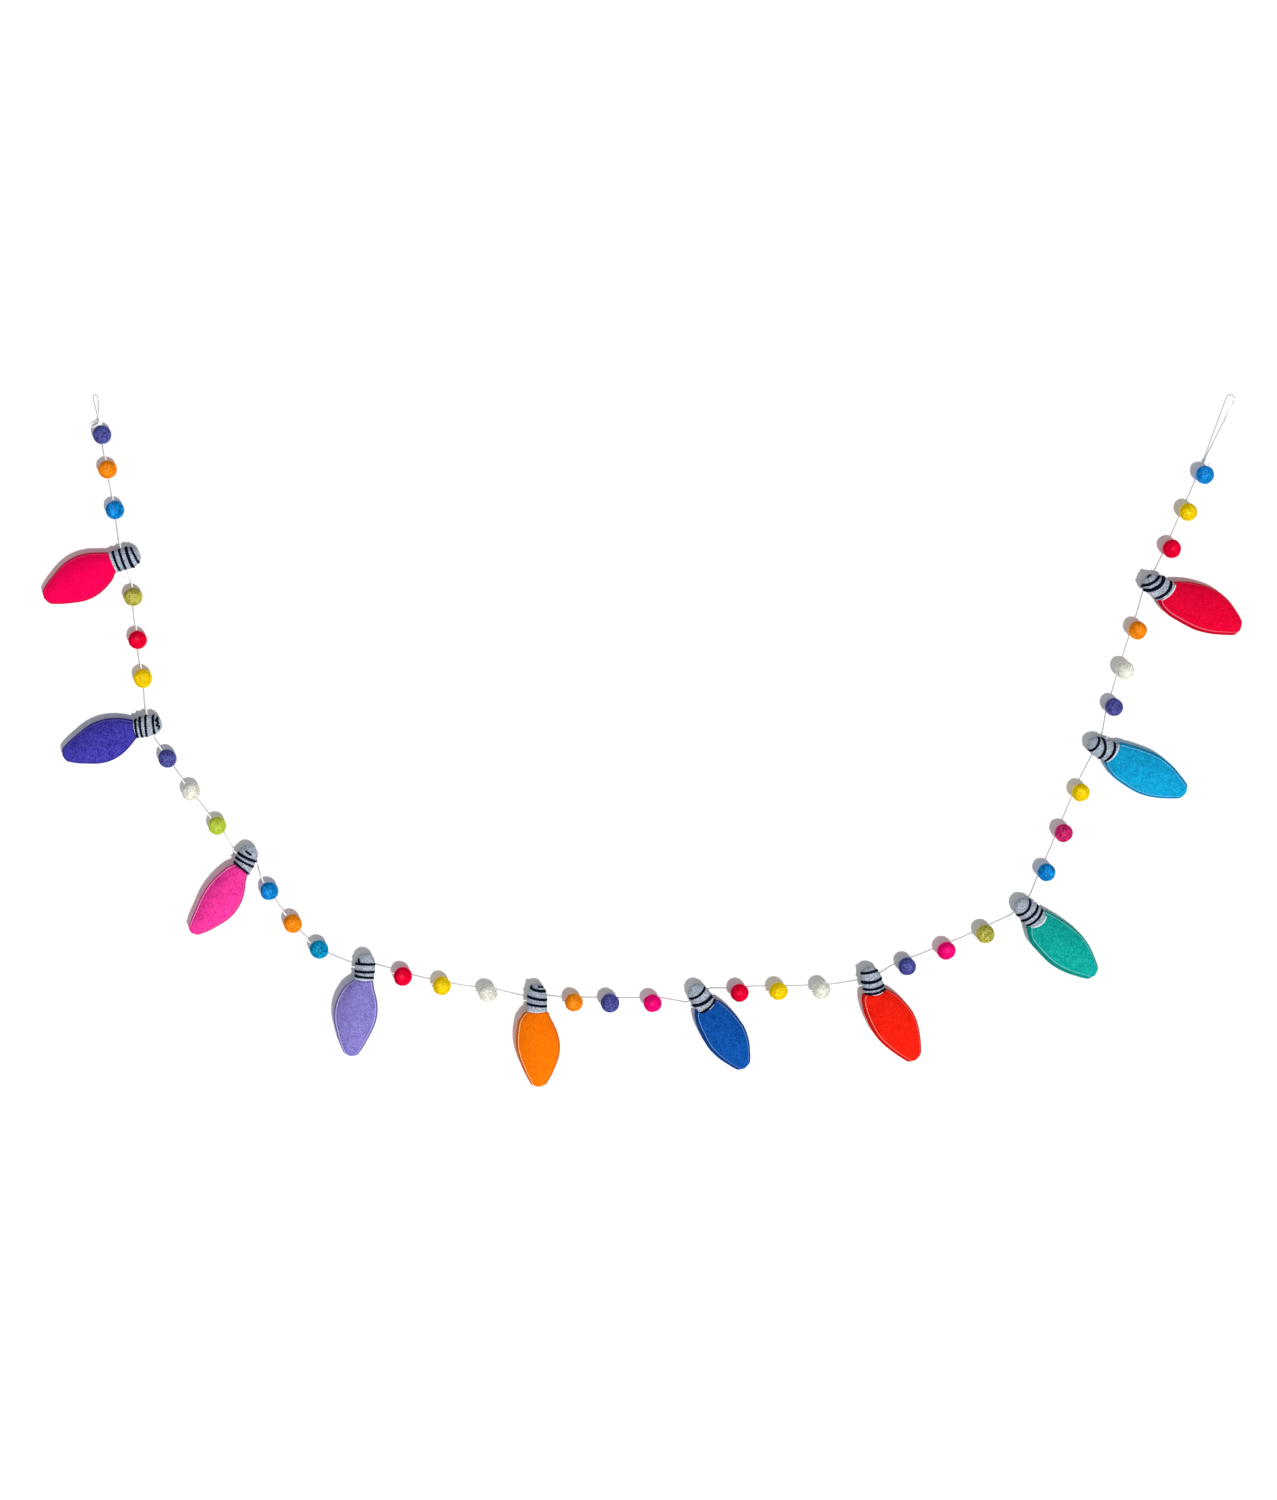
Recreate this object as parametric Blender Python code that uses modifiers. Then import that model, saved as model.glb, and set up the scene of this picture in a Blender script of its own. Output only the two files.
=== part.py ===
"""Felt lightbulb garland, hanging in a deep swag from a loop at each end.

Ten stuffed felt bulbs are threaded on one white string, with three felted wool balls in each
of the eleven stretches between and beside them. A bulb is a coloured body, sewn from two
panels and filled, with a grey felt socket sewn over its neck. The string runs crosswise
through the sockets and through the middle of the balls, and is knotted into a loop at each end.

Metres, +Z up. +X runs from the left loop to the right one, and +Y away from the viewer.
The origin is the top of the left hanging loop.
"""
import math
import random
from collections import namedtuple

import bmesh
import bpy
from mathutils import Vector

MM = 0.001
GAP = 0.3 * MM

# String, its knots and its hanging loops
STRING_DIAMETER = 1.2 * MM
STRING_RADIUS = STRING_DIAMETER / 2
BORE_RADIUS = STRING_RADIUS + GAP + 0.1 * MM
KNOT_RADIUS = 2.0 * MM
KNOT_DEPTH_RADIUS = 2.6 * MM
STRAND_PITCH = 1.7 * MM
BULB_BEND = 13.5 * MM
BALL_BEND = 13.0 * MM

# Felted balls
BALL_DIAMETER = 18.6 * MM
BALL_UNEVENNESS = 0.035
BALL_SIDES = 12
BALL_ROWS = 6

# Stuffed bulb bodies and their sockets
BODY_DEPTH = 24.0 * MM
BODY_SIDES = 16
NECK_TO_EDGE = 0.97
PANEL_CROWN = 1.15
NECK_SHARE = 0.12
NECK_BEND_GAIN = 1.0 / (1.0 - NECK_SHARE / 2)
SOCKET_DEPTH = 17.0 * MM
SOCKET_SIDES = 12
SOCKET_CROWN = 0.95
NEEDLE_LENGTH = 44.0 * MM

# One row a bulb. Across and drop say where the string crosses the socket, in mm from the
# origin. Leans are in degrees from straight down, to the right where positive. Lengths are in
# mm, and threaded_at is the string's height above the socket's lower edge.
Bulb = namedtuple(
    "Bulb", "colour across drop socket_lean body_lean socket_length body_length threaded_at"
)
BULBS = (
    Bulb("hot_pink", 27, 161, -74, -61, 28.5, 78, 11.5),
    Bulb("violet", 53, 327, -75, -70, 27, 78, 15),
    Bulb("pink", 149.5, 460, -26, -37, 25, 82, 11.5),
    Bulb("lavender", 268, 570, -5, -9, 26.5, 78.5, 11),
    Bulb("orange", 440, 602.5, 0, 0, 27, 76, 10.5),
    Bulb("royal_blue", 605.5, 602.5, 33, 31, 28.5, 70, 10),
    Bulb("scarlet", 775, 584, 17, 31, 27, 79, 11),
    Bulb("teal", 929, 511.5, 47, 46, 31, 77.5, 18),
    Bulb("turquoise", 1005, 350.5, 65, 61, 30.5, 80.3, 15),
    Bulb("crimson", 1057, 187, 62, 61, 31.5, 78.3, 19),
)

# One row a bulb, in mm: the body's greatest width; how broad its shoulders are, from 0 to 1;
# how far the middle of the body lies to the right of its straight line near the neck, halfway
# and at the tip; the socket's greatest width, its width at the lower edge, and that edge's bow.
Cut = namedtuple(
    "Cut", "width shoulder neck_shift middle_shift tip_shift socket_width edge_width edge_bow"
)
CUTS = (
    Cut(44.5, 0.15, -0.9, -1.5, -2.3, 22.5, 21.0, 0.8),
    Cut(41.5, 0.0, -1.2, 0.0, 0.0, 22.0, 18.5, 0.5),
    Cut(37.5, 0.0, -0.6, 2.0, -1.5, 21.0, 19.0, 0.5),
    Cut(43.0, 0.0, -1.5, -3.2, -1.8, 20.5, 19.0, 0.8),
    Cut(43.5, 0.4, -1.5, 1.0, 1.5, 20.5, 20.0, 0.8),
    Cut(41.5, 0.9, -1.0, 0.7, 1.2, 21.5, 21.0, 2.5),
    Cut(44.0, 0.55, -1.6, -0.4, 0.0, 21.5, 22.0, 2.0),
    Cut(42.5, 1.0, -2.4, -1.5, 0.8, 23.0, 23.5, 3.0),
    Cut(43.0, 0.9, -2.6, -1.3, 0.9, 21.5, 22.5, 2.5),
    Cut(45.0, 0.95, -1.0, 2.4, 3.3, 22.5, 23.5, 2.5),
)

# One row a stretch of string, left to right: three balls, each with its felt colour and with
# the across and drop of its middle in mm from the origin.
STRETCHES = (
    (("indigo", 4, 37), ("tangerine", 11, 71.5), ("blue", 18, 112)),
    (("olive", 37, 199), ("red", 39.5, 242), ("yellow", 46, 280.5)),
    (("indigo", 70, 361), ("cream", 94, 394), ("lime", 120, 428)),
    (("blue", 172.5, 493), ("tangerine", 194, 527), ("peacock", 221, 553)),
    (("red", 306, 578), ("yellow", 344.5, 590), ("cream", 391, 595)),
    (("tangerine", 477, 604.5), ("indigo", 513, 605), ("rose", 555.5, 605.5)),
    (("red", 642.5, 594), ("yellow", 681.5, 593), ("cream", 724.5, 593)),
    (("indigo", 810, 568), ("rose", 849.5, 553), ("olive", 888.5, 536.5)),
    (("blue", 950, 474.5), ("magenta", 966.5, 435), ("yellow", 983.5, 394.5)),
    (("indigo", 1017, 309), ("cream", 1027.5, 272), ("tangerine", 1040.5, 232.5)),
    (("red", 1075, 151), ("yellow", 1091, 114), ("blue", 1108, 77)),
)

# One row an end of the string: its knot and the top of its loop, across and drop in mm, and
# half the width of the loop near its top.
Loop = namedtuple("Loop", "knot_across knot_drop top_across top_drop half_width")
LEFT_LOOP = Loop(3.5, 25.2, 0, 0.6, 2.4)
RIGHT_LOOP = Loop(1112.4, 66.6, 1141, 0.6, 4.2)
TAIL_TIP = (-4.5, 30, -2.6)

# Sections of a body from its neck to its tip: share of the length, of the half width with
# narrow and with broad shoulders, and of the half depth, and how much of the socket edge's bow
# the section keeps. The first one is as wide as the socket's edge lets it be.
BODY_SECTIONS = (
    (0.00, 0.00, 0.00, 0.62, 1.0),
    (0.03, 0.47, 0.66, 0.67, 0.8),
    (0.08, 0.585, 0.78, 0.74, 0.5),
    (0.15, 0.735, 0.885, 0.83, 0.2),
    (0.25, 0.89, 0.95, 0.93, 0.0),
    (0.36, 0.985, 0.99, 0.99, 0.0),
    (0.48, 1.00, 1.00, 1.00, 0.0),
    (0.60, 0.92, 0.93, 0.95, 0.0),
    (0.72, 0.76, 0.80, 0.83, 0.0),
    (0.84, 0.585, 0.60, 0.66, 0.0),
    (0.92, 0.43, 0.45, 0.49, 0.0),
    (0.97, 0.30, 0.31, 0.33, 0.0),
)

# Sections of a socket from its lower edge to its cap: share of the length and of the half
# width, how much of its width at the edge it keeps, share of the half depth, and of the bow
SOCKET_SECTIONS = (
    (0.00, 1.00, 1.0, 0.90, 1.0),
    (0.20, 0.99, 0.5, 0.96, 0.7),
    (0.45, 1.00, 0.0, 1.00, 0.0),
    (0.70, 0.90, 0.0, 0.95, 0.0),
    (0.87, 0.70, 0.0, 0.78, 0.0),
    (0.97, 0.37, 0.0, 0.42, 0.0),
)

# Felt and string colours as they look in daylight, 0 to 255
COLOURS = {
    "hot_pink": (250, 0, 82),
    "violet": (60, 45, 165),
    "pink": (248, 40, 145),
    "lavender": (135, 120, 205),
    "orange": (255, 115, 10),
    "royal_blue": (5, 82, 172),
    "scarlet": (250, 30, 15),
    "teal": (10, 162, 148),
    "turquoise": (12, 155, 212),
    "crimson": (232, 0, 48),
    "indigo": (65, 65, 160),
    "tangerine": (255, 138, 30),
    "blue": (10, 130, 220),
    "olive": (185, 180, 70),
    "red": (235, 0, 50),
    "yellow": (250, 212, 20),
    "cream": (235, 235, 225),
    "lime": (175, 205, 65),
    "peacock": (0, 145, 200),
    "rose": (255, 0, 130),
    "magenta": (215, 20, 105),
    "socket_grey": (165, 176, 188),
    "string_white": (246, 246, 244),
}
FELT_ROUGHNESS = 0.95


def place(across, drop, depth=0.0):
    """A point from its millimetres to the right of, below and behind the origin."""
    return Vector((across * MM, depth * MM, -drop * MM))


def start_scene():
    """Empty the file and make the collections for the pieces and for the cutters."""
    for leftover in list(bpy.data.objects):
        bpy.data.objects.remove(leftover, do_unlink=True)
    collections = []
    for name in ("felt_lightbulb_garland", "cutters"):
        collection = bpy.data.collections.new(name)
        bpy.context.scene.collection.children.link(collection)
        collections.append(collection)
    return collections


def material(colour):
    """The dyed felt or string of one colour, made when it is first asked for."""
    if colour in bpy.data.materials:
        return bpy.data.materials[colour]
    dyed = bpy.data.materials.new(colour)
    dyed.use_nodes = True
    linear = [(channel / 255) ** 2.2 for channel in COLOURS[colour]]
    shader = dyed.node_tree.nodes["Principled BSDF"]
    shader.inputs["Base Color"].default_value = (*linear, 1.0)
    shader.inputs["Roughness"].default_value = FELT_ROUGHNESS
    shader.inputs["Metallic"].default_value = 0.0
    dyed.diffuse_color = (*linear, 1.0)
    return dyed


def add_object(name, mesh, collection, colour=None):
    """Link a mesh as a named object, with its colour's material where it has one."""
    piece = bpy.data.objects.new(name, mesh)
    collection.objects.link(piece)
    if colour:
        mesh.materials.clear()
        mesh.materials.append(material(colour))
    return piece


def section(centre, turn, half_width, half_depth, bow, edge, sides, crown):
    """One closed ring of a stuffed shape, square to its line, which is turned from -Z.

    Where crown is over 1 the two panels meet in an edge, as they do along a seam. The bow moves
    the middle of the panels on along the line, and dies out at the edge's half width.
    """
    onward = Vector((math.sin(turn), 0, -math.cos(turn)))
    sideways = Vector((math.cos(turn), 0, math.sin(turn)))
    ring = []
    for step in range(sides):
        angle = 2 * math.pi * step / sides
        across = math.cos(angle) * half_width
        swell = math.copysign(abs(math.sin(angle)) ** crown, math.sin(angle))
        sag = bow * max(1 - (across / edge) ** 2, 0)
        ring.append(centre + sideways * across + onward * sag + Vector((0, swell * half_depth, 0)))
    return ring


def loft(name, rings, tip):
    """A closed mesh through like rings, with a ruled end on the first and a point past the last.

    The ruled end joins each point of a ring to the one opposite it through the depth.
    """
    shape = bmesh.new()
    loops = [[shape.verts.new(point) for point in ring] for ring in rings]
    sides = len(loops[0])
    for lower, upper in zip(loops, loops[1:]):
        for step in range(sides):
            after = (step + 1) % sides
            shape.faces.new((lower[step], lower[after], upper[after], upper[step]))
    first = loops[0]
    shape.faces.new((first[0], first[1], first[-1]))
    for step in range(1, sides // 2 - 1):
        shape.faces.new((first[step], first[step + 1], first[-step - 1], first[-step]))
    middle = sides // 2
    shape.faces.new((first[middle - 1], first[middle], first[middle + 1]))
    point = shape.verts.new(tip)
    for step in range(sides):
        shape.faces.new((loops[-1][step], loops[-1][(step + 1) % sides], point))
    bmesh.ops.recalc_face_normals(shape, faces=shape.faces)
    mesh = bpy.data.meshes.new(name)
    shape.to_mesh(mesh)
    shape.free()
    mesh.shade_smooth()
    return mesh


def hang(piece, bulb):
    """Turn a bulb's piece to the lean of its socket, with the string's crossing as its pivot."""
    piece.location = place(bulb.across, bulb.drop)
    piece.rotation_euler = (0, -math.radians(bulb.socket_lean), 0)


def side_shift(cut, share):
    """How far a body's middle lies to one side, with none at the neck itself."""
    near = cut.neck_shift * (1 - share) * (1 - 2 * share)
    halfway = cut.middle_shift * 4 * share * (1 - share)
    far = cut.tip_shift * share * (2 * share - 1)
    return (near + halfway + far) * min(share / NECK_SHARE, 1.0) * MM


def add_body(number, bulb, cut, collection):
    """The stuffed body: two crowned panels that bend at the neck from the socket's lean."""
    length = bulb.body_length * MM
    bend = math.radians(bulb.body_lean - bulb.socket_lean) * NECK_BEND_GAIN

    def turned(share):
        eased = min(share / NECK_SHARE, 1.0)
        return bend * eased * eased * (3 - 2 * eased)

    def stride(start, end):
        turn = turned((start + end) / 2)
        return Vector((math.sin(turn), 0, -math.cos(turn))) * (end - start) * length

    def shifted(line_point, share):
        turn = turned(share)
        return line_point + Vector((math.cos(turn), 0, math.sin(turn))) * side_shift(cut, share)

    line_point = Vector((0, 0, -bulb.threaded_at * MM - GAP))
    edge = cut.edge_width * MM / 2
    reached = 0.0
    rings = []
    for share, narrow, broad, deep, bow in BODY_SECTIONS:
        line_point = line_point + stride(reached, share)
        reached = share
        half_width = (narrow + (broad - narrow) * cut.shoulder) * cut.width * MM / 2
        if share == 0:
            half_width = NECK_TO_EDGE * edge
        half_depth = deep * BODY_DEPTH / 2
        sag = bow * cut.edge_bow * MM
        centre = shifted(line_point, share)
        rings.append(section(centre, turned(share), half_width, half_depth, sag, edge, BODY_SIDES, PANEL_CROWN))
    name = f"bulb_{number:02d}_body"
    mesh = loft(name, rings, shifted(line_point + stride(reached, 1.0), 1.0))
    hang(add_object(name, mesh, collection, bulb.colour), bulb)


def add_socket(number, bulb, cut, collection, cutters):
    """The grey felt cap over the neck, pierced from side to side for the string."""
    length = bulb.socket_length * MM
    foot = -bulb.threaded_at * MM
    edge = cut.edge_width * MM / 2
    rings = []
    for share, wide, as_edge, deep, bow in SOCKET_SECTIONS:
        middle = cut.socket_width * MM / 2
        half_width = wide * (middle + (edge - middle) * as_edge)
        half_depth = deep * SOCKET_DEPTH / 2
        centre = Vector((0, 0, foot + share * length))
        sag = bow * cut.edge_bow * MM
        rings.append(section(centre, 0, half_width, half_depth, sag, edge, SOCKET_SIDES, SOCKET_CROWN))
    name = f"bulb_{number:02d}_socket"
    mesh = loft(name, rings, Vector((0, 0, foot + length)))
    socket = add_object(name, mesh, collection, "socket_grey")
    hang(socket, bulb)

    needle = bmesh.new()
    bmesh.ops.create_cone(
        needle, cap_ends=True, segments=8, radius1=BORE_RADIUS, radius2=BORE_RADIUS, depth=NEEDLE_LENGTH
    )
    needle_mesh = bpy.data.meshes.new(f"needle_{number:02d}")
    needle.to_mesh(needle_mesh)
    needle.free()
    cutter = add_object(needle_mesh.name, needle_mesh, cutters)
    cutter.location = socket.location
    cutter.rotation_euler = (0, math.radians(90 - bulb.socket_lean), 0)
    cutter.display_type = "WIRE"
    cutter.hide_render = True
    pierce = socket.modifiers.new("pierced_for_string", "BOOLEAN")
    pierce.operation = "DIFFERENCE"
    pierce.object = cutter


def add_ball(name, colour, centre, along, radius, half_height, collection):
    """One felted ball, turned round its bore from a closed profile."""
    start = math.asin(BORE_RADIUS / radius)
    turned = bmesh.new()
    points = []
    for row in range(BALL_ROWS + 1):
        angle = start + (math.pi - 2 * start) * row / BALL_ROWS
        points.append(turned.verts.new((radius * math.sin(angle), 0, half_height * math.cos(angle))))
    for above, below in zip(points, points[1:] + points[:1]):
        turned.edges.new((above, below))
    mesh = bpy.data.meshes.new(name)
    turned.to_mesh(mesh)
    turned.free()
    ball = add_object(name, mesh, collection, colour)
    ball.location = centre
    ball.rotation_euler = (0, math.atan2(along.x, along.z), 0)
    turning = ball.modifiers.new("turned", "SCREW")
    turning.steps = BALL_SIDES
    turning.render_steps = BALL_SIDES
    turning.use_merge_vertices = True
    turning.merge_threshold = 0.00001
    turning.use_smooth_shade = True


def loop_points(loop):
    """The string from one pass of the knot round the hanging loop to the other pass.

    The first pass lies in front of the last by the pitch of two strands.
    """
    knot = place(loop.knot_across, loop.knot_drop)
    top = place(loop.top_across, loop.top_drop)
    upward = (top - knot).normalized()
    sideways = Vector((-upward.z, 0, upward.x))
    half_width = loop.half_width * MM
    shoulder = (top - knot).length - half_width
    front = Vector((0, -STRAND_PITCH, 0))
    points = [knot + front]
    for share in (0.3, 0.6, 0.85):
        height = share * shoulder
        points.append(knot + upward * height + sideways * share * half_width + front * (1 - share / 2))
    for step in range(7):
        angle = math.pi * step / 6
        rise = upward * math.sin(angle) + sideways * math.cos(angle)
        points.append(knot + upward * shoulder + rise * half_width + front / 2)
    for share in (0.85, 0.6, 0.3):
        height = share * shoulder
        points.append(knot + upward * height - sideways * share * half_width + front * share / 2)
    points.append(knot)
    return points


def string_route():
    """The string's points from end to end, the balls' middles, and each row's first stretch.

    The string is straight through every bulb and ball. It bends halfway between two balls, and
    a little way off the bulb and off the ball where those are neighbours.
    """
    balls = [[place(across, drop) for _, across, drop in row] for row in STRETCHES]
    points = [place(*TAIL_TIP)] + loop_points(LEFT_LOOP)
    seats = []
    for index, row in enumerate(balls):
        if index > 0:
            bulb = BULBS[index - 1]
            crossing = place(bulb.across, bulb.drop)
            lean = math.radians(bulb.socket_lean)
            through = Vector((math.cos(lean), 0, math.sin(lean)))
            points.append(crossing - through * BULB_BEND)
            points.append(crossing + through * BULB_BEND)
            points.append(row[0] - (row[1] - crossing).normalized() * BALL_BEND)
        seats.append(len(points) - 1)
        points.append((row[0] + row[1]) / 2)
        points.append((row[1] + row[2]) / 2)
        if index < len(BULBS):
            bulb = BULBS[index]
            after = place(bulb.across, bulb.drop)
            points.append(row[2] + (after - row[1]).normalized() * BALL_BEND)
    points.extend(reversed(loop_points(RIGHT_LOOP)))
    return points, balls, seats


def nearest_on(point, start, end):
    """The point of a straight stretch that lies nearest to another point."""
    stretch = end - start
    return start + stretch * ((point - start).dot(stretch) / stretch.length_squared)


def add_balls(points, balls, seats, collection):
    """Every ball, centred on its own straight stretch of string and a little uneven."""
    chance = random.Random(33)
    number = 0
    for row, centres, first in zip(STRETCHES, balls, seats):
        for step, ((colour, _, _), centre) in enumerate(zip(row, centres)):
            start, end = points[first + step], points[first + step + 1]
            radius = BALL_DIAMETER / 2 * (1 + chance.uniform(-BALL_UNEVENNESS, BALL_UNEVENNESS))
            half_height = BALL_DIAMETER / 2 * (1 + chance.uniform(-BALL_UNEVENNESS, BALL_UNEVENNESS))
            number += 1
            seat = nearest_on(centre, start, end)
            add_ball(f"ball_{number:02d}", colour, seat, end - start, radius, half_height, collection)


def add_knot(string, name, loop, cutters):
    """Fuse the lump of a knot onto the string, over the place where its two strands pass."""
    lump = bmesh.new()
    bmesh.ops.create_icosphere(lump, subdivisions=2, radius=1.0)
    bmesh.ops.scale(lump, vec=(KNOT_RADIUS, KNOT_DEPTH_RADIUS, KNOT_RADIUS), verts=lump.verts)
    mesh = bpy.data.meshes.new(name)
    lump.to_mesh(mesh)
    lump.free()
    knot = add_object(name, mesh, cutters)
    knot.location = place(loop.knot_across, loop.knot_drop) + Vector((0, -STRAND_PITCH / 2, 0))
    knot.display_type = "WIRE"
    knot.hide_render = True
    fuse = string.modifiers.new(name, "BOOLEAN")
    fuse.operation = "UNION"
    fuse.object = knot


def add_string(points, collection, cutters):
    """The one length of string, with its two knots."""
    curve = bpy.data.curves.new("string_line", "CURVE")
    curve.dimensions = "3D"
    curve.bevel_depth = STRING_RADIUS
    curve.bevel_resolution = 2
    curve.use_fill_caps = True
    spline = curve.splines.new("POLY")
    spline.points.add(len(points) - 1)
    for knot, point in zip(spline.points, points):
        knot.co = (*point, 1.0)
    line = bpy.data.objects.new("string_line", curve)
    collection.objects.link(line)
    bpy.context.view_layer.update()
    tube = bpy.data.meshes.new_from_object(line.evaluated_get(bpy.context.evaluated_depsgraph_get()))
    tube.name = "string"
    welded = bmesh.new()
    welded.from_mesh(tube)
    bmesh.ops.remove_doubles(welded, verts=welded.verts, dist=0.00001)
    bmesh.ops.recalc_face_normals(welded, faces=welded.faces)
    welded.to_mesh(tube)
    welded.free()
    tube.shade_smooth()
    string = add_object("string", tube, collection, "string_white")
    string.matrix_world = line.matrix_world
    bpy.data.objects.remove(line, do_unlink=True)
    add_knot(string, "left_knot", LEFT_LOOP, cutters)
    add_knot(string, "right_knot", RIGHT_LOOP, cutters)


def build():
    collection, cutters = start_scene()
    points, balls, seats = string_route()
    add_string(points, collection, cutters)
    add_balls(points, balls, seats, collection)
    for number, (bulb, cut) in enumerate(zip(BULBS, CUTS), start=1):
        add_body(number, bulb, cut, collection)
        add_socket(number, bulb, cut, collection, cutters)


build()
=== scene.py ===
"""Felt lightbulb garland: the felt, wool and string as they look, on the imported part."""
import math
import random
from collections import namedtuple

import bmesh
import bpy
import numpy as np
from mathutils import Matrix, Vector, noise


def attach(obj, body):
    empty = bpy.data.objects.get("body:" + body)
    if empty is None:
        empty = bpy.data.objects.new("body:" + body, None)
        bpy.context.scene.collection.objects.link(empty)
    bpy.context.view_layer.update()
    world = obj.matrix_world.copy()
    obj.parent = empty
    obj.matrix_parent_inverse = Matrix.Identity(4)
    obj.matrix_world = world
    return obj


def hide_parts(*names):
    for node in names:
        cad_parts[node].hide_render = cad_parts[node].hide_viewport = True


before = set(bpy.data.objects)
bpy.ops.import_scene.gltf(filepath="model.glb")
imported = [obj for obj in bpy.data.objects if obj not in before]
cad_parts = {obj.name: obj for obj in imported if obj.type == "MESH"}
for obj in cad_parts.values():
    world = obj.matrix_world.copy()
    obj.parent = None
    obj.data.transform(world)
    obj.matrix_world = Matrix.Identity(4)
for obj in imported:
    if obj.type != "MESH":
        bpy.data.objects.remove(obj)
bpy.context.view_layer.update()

# The camera stands square to the wall, level with the middle of the garland. A long lens from
# three and a half metres takes in 1.28 m across and 1.5 m down at the garland's own depth.
CAMERA_PLACE = (0.5415, -3.5417, -0.352)
CAMERA_LENS = 85.0
CAMERA_SENSOR = 36.0
camera = bpy.data.objects.new("camera", bpy.data.cameras.new("camera"))
bpy.context.scene.collection.objects.link(camera)
camera.data.lens = CAMERA_LENS
camera.data.sensor_width = CAMERA_SENSOR
camera.location = CAMERA_PLACE
camera.rotation_euler = (math.radians(90), 0, 0)
bpy.context.scene.camera = camera
bpy.context.scene.view_settings.view_transform = "Standard"
bpy.context.scene.view_settings.look = "None"


# The string is one length of white three-ply cotton, threaded crosswise through every socket
# and through the middle of every ball. It is tied off in a hanging loop at each end, and the
# left knot keeps a short free tail.
MM = 0.001
STRING_DIAMETER = 1.2 * MM
PLY_RIDGE = 1.2
STRING_TWIST = 4.6 * MM
STRING_STEP = 0.55 * MM
STRING_SIDES = 9
BEND_EASE = 3.0 * MM
STRAND_PITCH = 1.7 * MM
BEND_STEPS = 4
TWIST_START = (0.3, 1.0, 0.2)
LOOP_SHARES = (0.3, 0.6, 0.85)
LOOP_STEPS = 6
PLY_DEPTH = 0.12
KNOT_SIZE = 1.75 * MM
KNOT_DEPTH = 0.42
KNOT_POINTS = 90
STRING_RELIEF = 0.2 * MM
STRING_WHITE = (246, 246, 244)
STRING_BRIGHT = (252, 252, 251)
DISPLAY_GAMMA = 2.2
MATT_SPECULAR = 0.01

# The string runs straight this far to each side of the middle of a socket or a ball
BULB_BEND = 13.5 * MM
BALL_BEND = 13.0 * MM

# Where the string crosses each bulb's socket: mm across and below the origin, and the lean of
# the socket from straight down, in degrees to the right.
CROSSINGS = (
    (27, 161, -74),
    (53, 327, -75),
    (149.5, 460, -26),
    (268, 570, -5),
    (440, 602.5, 0),
    (605.5, 602.5, 33),
    (775, 584, 17),
    (929, 511.5, 47),
    (1005, 350.5, 65),
    (1057, 187, 62),
)

# The middles of the three balls in each stretch of string, mm across and below the origin
STRETCHES = (
    ((4, 37), (11, 71.5), (18, 112)),
    ((37, 199), (39.5, 242), (46, 280.5)),
    ((70, 361), (94, 394), (120, 428)),
    ((172.5, 493), (194, 527), (221, 553)),
    ((306, 578), (344.5, 590), (391, 595)),
    ((477, 604.5), (513, 605), (555.5, 605.5)),
    ((642.5, 594), (681.5, 593), (724.5, 593)),
    ((810, 568), (849.5, 553), (888.5, 536.5)),
    ((950, 474.5), (966.5, 435), (983.5, 394.5)),
    ((1017, 309), (1027.5, 272), (1040.5, 232.5)),
    ((1075, 151), (1091, 114), (1108, 77)),
)

# An end's knot and the top of its loop, mm across and drop, and half the loop's width
LEFT_LOOP = ((3.5, 25.2), (0, 0.6), 2.4)
RIGHT_LOOP = ((1112.4, 66.6), (1141, 0.6), 4.2)
TAIL_TIP = (-4.5, 30, -2.6)


def place(across, drop, depth=0.0):
    """A point from its millimetres to the right of, below and behind the origin."""
    return Vector((across * MM, depth * MM, -drop * MM))


def loop_points(knot, top, half_width):
    """The string round one hanging loop, from the front pass of the knot to the back one."""
    knot = place(*knot)
    top = place(*top)
    half_width = half_width * MM
    upward = (top - knot).normalized()
    sideways = Vector((-upward.z, 0, upward.x))
    shoulder = (top - knot).length - half_width
    front = Vector((0, -STRAND_PITCH, 0))
    points = [knot + front]
    for share in LOOP_SHARES:
        side = sideways * share * half_width
        points.append(knot + upward * share * shoulder + side + front * (1 - share / 2))
    for step in range(LOOP_STEPS + 1):
        angle = math.pi * step / LOOP_STEPS
        rise = upward * math.sin(angle) + sideways * math.cos(angle)
        points.append(knot + upward * shoulder + rise * half_width + front / 2)
    for share in reversed(LOOP_SHARES):
        side = sideways * share * half_width
        points.append(knot + upward * share * shoulder - side + front * share / 2)
    points.append(knot)
    return points


def string_route():
    """The string's points from the free tail to the far loop, and each ball's straight stretch."""
    points = [place(*TAIL_TIP)] + loop_points(*LEFT_LOOP)
    runs = []
    for index, row in enumerate(STRETCHES):
        balls = [place(*ball) for ball in row]
        if index > 0:
            across, drop, lean = CROSSINGS[index - 1]
            crossing = place(across, drop)
            through = Vector((math.cos(math.radians(lean)), 0, math.sin(math.radians(lean))))
            points.append(crossing - through * BULB_BEND)
            points.append(crossing + through * BULB_BEND)
            points.append(balls[0] - (balls[1] - crossing).normalized() * BALL_BEND)
        first = len(points) - 1
        points.append((balls[0] + balls[1]) / 2)
        points.append((balls[1] + balls[2]) / 2)
        if index < len(CROSSINGS):
            after = place(*CROSSINGS[index][:2])
            points.append(balls[2] + (after - balls[1]).normalized() * BALL_BEND)
        runs.extend((ball, first + step) for step, ball in enumerate(balls))
    points.extend(reversed(loop_points(*RIGHT_LOOP)))
    return points, runs


def eased(points, reach):
    """The same line with each of its corners rounded over a short reach."""
    line = [points[0]]
    for before, corner, after in zip(points, points[1:], points[2:]):
        start = corner + (before - corner).normalized() * min(reach, (before - corner).length / 2)
        end = corner + (after - corner).normalized() * min(reach, (after - corner).length / 2)
        for step in range(BEND_STEPS + 1):
            t = step / BEND_STEPS
            line.append(start * (1 - t) ** 2 + corner * 2 * t * (1 - t) + end * t * t)
    line.append(points[-1])
    return line


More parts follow.
